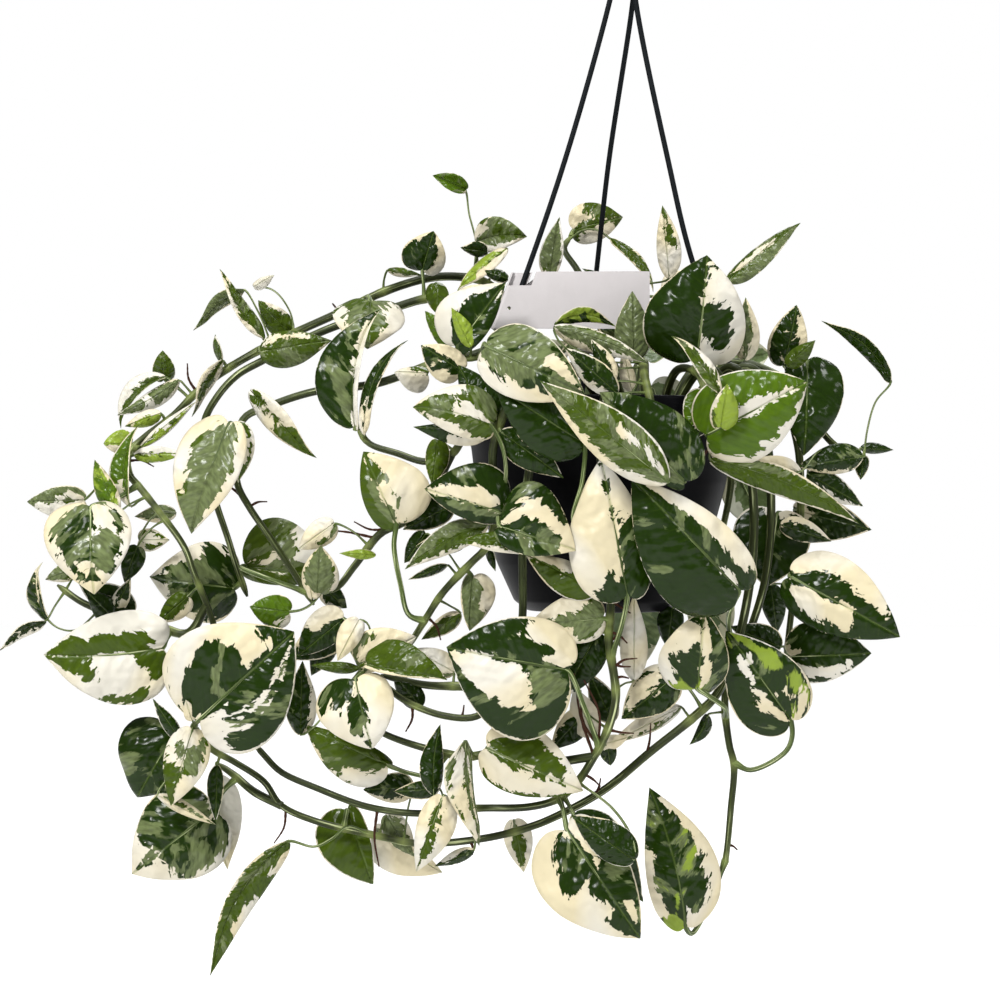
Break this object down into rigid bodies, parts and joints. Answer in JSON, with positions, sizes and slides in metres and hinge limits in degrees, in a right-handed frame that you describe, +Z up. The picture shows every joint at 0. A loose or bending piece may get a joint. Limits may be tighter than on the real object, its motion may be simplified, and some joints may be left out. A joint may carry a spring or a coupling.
{
  "type": "potted njoy pothos",
  "caption": "Variegated pothos with long leafy vines in a black hanging pot on three rods and a hook, with a blank label round one rod.",
  "frame": {"origin": "the bearing point at the top of the hook's inside, where a rail or bracket carries it", "axes": "+Z up, +X to the right as seen in the picture, +Y away from the viewer; the pot's axis is at X = -20 mm, Y = 0"},
  "size_m": [0.5257, 0.269, 0.6653],
  "materials": {
    "leaf": "waxy, green with cream variegation",
    "pot_plastic": "black, satin",
    "soil": "dark crumbly peat",
    "rod_plastic": "black, satin",
    "label": "white, matt, left blank"
  },
  "bodies": {
    "root": {"pot": "pot_plastic", "soil": "soil", "hook": "rod_plastic", "rod_left": "rod_plastic", "rod_right": "rod_plastic", "rod_back": "rod_plastic", "label": "label", "stem_top": "leaf", "stem_upper": "leaf", "stem_side": "leaf", "stem_left": "leaf", "stem_left_low": "leaf", "stem_crown_left": "leaf", "stem_inner": "leaf", "stem_centre": "leaf", "stem_outer": "leaf", "stem_right_long": "leaf", "stem_right": "leaf", "stem_crown_right": "leaf", "stem_crown_far": "leaf", "stem_crown_front": "leaf", "stem_crown_back": "leaf", "stem_middle": "leaf", "stem_back_left": "leaf", "stem_back_middle": "leaf", "stem_back_right": "leaf"}
  },
  "joints": []
}
